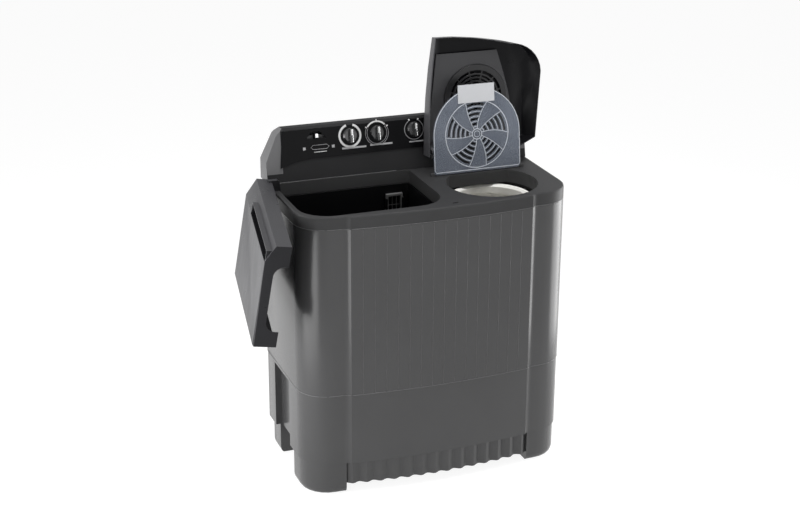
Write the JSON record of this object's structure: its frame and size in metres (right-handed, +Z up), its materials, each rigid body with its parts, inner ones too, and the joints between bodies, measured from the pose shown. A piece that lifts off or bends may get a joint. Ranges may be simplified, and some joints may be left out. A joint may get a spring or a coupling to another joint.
{
  "type": "semi-automatic washing machine",
  "caption": "Twin-tub washing machine with wash tub, spin basket, hinged spin and safety lids, lift-off wash lid, sloping control panel and inner drives.",
  "frame": {"origin": "middle of the bounding box on the floor plane, under the foot pads", "axes": "+X to the spin side, +Y to the back, +Z up"},
  "size_m": [0.982, 0.5256, 1.2202],
  "materials": {
    "balance_ring": "ivory satin",
    "base": "satin dark grey",
    "brake_drum": "cast",
    "brake_lever": "brushed",
    "cabinet": "satin dark grey",
    "control_housing": "satin dark grey",
    "control_panel": "black glossy",
    "cord_gland": "matt black",
    "drain_outlet": "dark glossy",
    "drain_plug": "blue satin",
    "drain_valve": "pale satin",
    "drive_belt": "matt black",
    "drive_bracket": "brushed",
    "drive_shaft": "brushed",
    "filter_holder": "satin moulded",
    "foot_pad_1": "matt black",
    "foot_pad_2": "matt black",
    "foot_pad_3": "matt black",
    "foot_pad_4": "matt black",
    "gear_case": "cast",
    "gear_pulley": "pale satin",
    "housing_back": "satin dark grey",
    "inlet_lever": "satin silver plating",
    "lint_filter": "blue satin",
    "motor_capacitor": "pale satin",
    "motor_damper_1": "matt black",
    "motor_damper_2": "matt black",
    "motor_damper_3": "matt black",
    "motor_plate": "brushed",
    "motor_pulley": "brushed",
    "pulsator": "pale satin",
    "safety_lid": "frosted clear",
    "safety_tag": "white label stock",
    "selector_body": "pale satin",
    "selector_knob": "dark glossy",
    "service_cover": "satin dark grey",
    "shaft_seal": "matt black",
    "spin_basket": "ivory satin",
    "spin_drain_hose": "matt black",
    "spin_lid": "smoked glossy",
    "spin_lid_inner": "dark glossy",
    "spin_lid_pin_left": "brushed",
    "spin_lid_pin_right": "brushed",
    "spin_motor": "cast",
    "spin_shaft": "brushed",
    "spin_timer_body": "pale satin",
    "spin_timer_knob": "dark glossy",
    "spin_tub": "satin moulded",
    "top_deck": "satin dark grey",
    "valve_cap": "pale satin",
    "vent_grille": "dark glossy",
    "wash_drain_hose": "matt black",
    "wash_lid": "smoked glossy",
    "wash_motor": "cast",
    "wash_timer_body": "pale satin",
    "wash_timer_knob": "dark glossy",
    "wash_tub": "satin moulded",
    "water_diverter": "pale satin",
    "water_inlet": "pale satin"
  },
  "bodies": {
    "machine": {"base": "base", "cabinet": "cabinet", "control_housing": "control_housing", "control_panel": "control_panel", "cord_gland": "cord_gland", "drain_outlet": "drain_outlet", "drain_valve": "drain_valve", "drive_belt": "drive_belt", "drive_bracket": "drive_bracket", "filter_holder": "filter_holder", "foot_pad_1": "foot_pad_1", "foot_pad_2": "foot_pad_2", "foot_pad_3": "foot_pad_3", "foot_pad_4": "foot_pad_4", "gear_case": "gear_case", "housing_back": "housing_back", "motor_capacitor": "motor_capacitor", "motor_damper_1": "motor_damper_1", "motor_damper_2": "motor_damper_2", "motor_damper_3": "motor_damper_3", "motor_plate": "motor_plate", "selector_body": "selector_body", "service_cover": "service_cover", "shaft_seal": "shaft_seal", "spin_drain_hose": "spin_drain_hose", "spin_lid_pin_left": "spin_lid_pin_left", "spin_lid_pin_right": "spin_lid_pin_right", "spin_motor": "spin_motor", "spin_timer_body": "spin_timer_body", "spin_tub": "spin_tub", "top_deck": "top_deck", "valve_cap": "valve_cap", "wash_drain_hose": "wash_drain_hose", "wash_motor": "wash_motor", "wash_timer_body": "wash_timer_body", "wash_tub": "wash_tub", "water_diverter": "water_diverter", "water_inlet": "water_inlet"},
    "wash_lid": {"wash_lid": "wash_lid"},
    "spin_lid": {"spin_lid": "spin_lid", "spin_lid_inner": "spin_lid_inner", "vent_grille": "vent_grille"},
    "safety_lid": {"safety_lid": "safety_lid", "safety_tag": "safety_tag"},
    "gear_pulley": {"gear_pulley": "gear_pulley"},
    "pulsator": {"pulsator": "pulsator", "drive_shaft": "drive_shaft"},
    "motor_pulley": {"motor_pulley": "motor_pulley"},
    "spin_rotor": {"spin_basket": "spin_basket", "balance_ring": "balance_ring", "spin_shaft": "spin_shaft", "brake_drum": "brake_drum"},
    "brake_lever": {"brake_lever": "brake_lever"},
    "wash_timer": {"wash_timer_knob": "wash_timer_knob"},
    "selector": {"selector_knob": "selector_knob"},
    "spin_timer": {"spin_timer_knob": "spin_timer_knob"},
    "inlet_lever": {"inlet_lever": "inlet_lever"},
    "lint_filter": {"lint_filter": "lint_filter"},
    "drain_plug": {"drain_plug": "drain_plug"}
  },
  "joints": [
    {"name": "wash_lid_lift", "type": "slide", "parent": "machine", "child": "wash_lid", "axis": [0, 0, 1], "range_m": [0, 0.12]},
    {"name": "spin_lid_hinge", "type": "hinge", "parent": "machine", "child": "spin_lid", "pos_m": [0.28203, 0.14777, 0.885], "axis": [1, 0, 0], "range_deg": [0, 97]},
    {"name": "safety_lid_hinge", "type": "hinge", "parent": "machine", "child": "safety_lid", "pos_m": [0.26803, 0.06977, 0.8437], "axis": [1, 0, 0], "range_deg": [0, 97]},
    {"name": "gear_pulley_spin", "type": "hinge", "parent": "machine", "child": "gear_pulley", "pos_m": [-0.12297, -0.00423, 0.224], "axis": [0, 0, 1], "continuous": true},
    {"name": "pulsator_spin", "type": "hinge", "parent": "machine", "child": "pulsator", "pos_m": [-0.12297, -0.00423, 0.38], "axis": [0, 0, 1], "continuous": true},
    {"name": "motor_pulley_spin", "type": "hinge", "parent": "machine", "child": "motor_pulley", "pos_m": [-0.25597, 0.06477, 0.224], "axis": [0, 0, 1], "continuous": true},
    {"name": "spin_basket_spin", "type": "hinge", "parent": "machine", "child": "spin_rotor", "pos_m": [0.26803, -0.03423, 0.5], "axis": [0, 0, 1], "continuous": true},
    {"name": "brake_lever_swing", "type": "hinge", "parent": "machine", "child": "brake_lever", "pos_m": [0.29528, -0.08142, 0.351], "axis": [0, 0, -1], "range_deg": [0, 4.5]},
    {"name": "wash_timer_turn", "type": "hinge", "parent": "machine", "child": "wash_timer", "pos_m": [-0.08397, 0.18018, 0.94919], "axis": [0, 0.9781, -0.2079], "range_deg": [0, 315]},
    {"name": "selector_turn", "type": "hinge", "parent": "machine", "child": "selector", "pos_m": [-0.00197, 0.18018, 0.94919], "axis": [0, 0.9781, -0.2079], "range_deg": [-60, 60]},
    {"name": "spin_timer_turn", "type": "hinge", "parent": "machine", "child": "spin_timer", "pos_m": [0.11203, 0.18018, 0.94919], "axis": [0, 0.9781, -0.2079], "range_deg": [0, 300]},
    {"name": "inlet_lever_swing", "type": "hinge", "parent": "machine", "child": "inlet_lever", "pos_m": [-0.18547, 0.17831, 0.94038], "axis": [0, 0.9781, -0.2079], "range_deg": [-20, 20]},
    {"name": "lint_filter_lift", "type": "slide", "parent": "machine", "child": "lint_filter", "axis": [0, 0, 1], "range_m": [0, 0.2]},
    {"name": "drain_plug_lift", "type": "slide", "parent": "machine", "child": "drain_plug", "axis": [0, 0, 1], "range_m": [0, 0.012]}
  ],
  "couplings": [
    {"joint": "safety_lid_hinge", "follows": "spin_lid_hinge", "ratio": 1},
    {"joint": "brake_lever_swing", "follows": "spin_lid_hinge", "ratio": 0.04},
    {"joint": "pulsator_spin", "follows": "gear_pulley_spin", "ratio": 0.2},
    {"joint": "motor_pulley_spin", "follows": "gear_pulley_spin", "ratio": 4.7838}
  ]
}
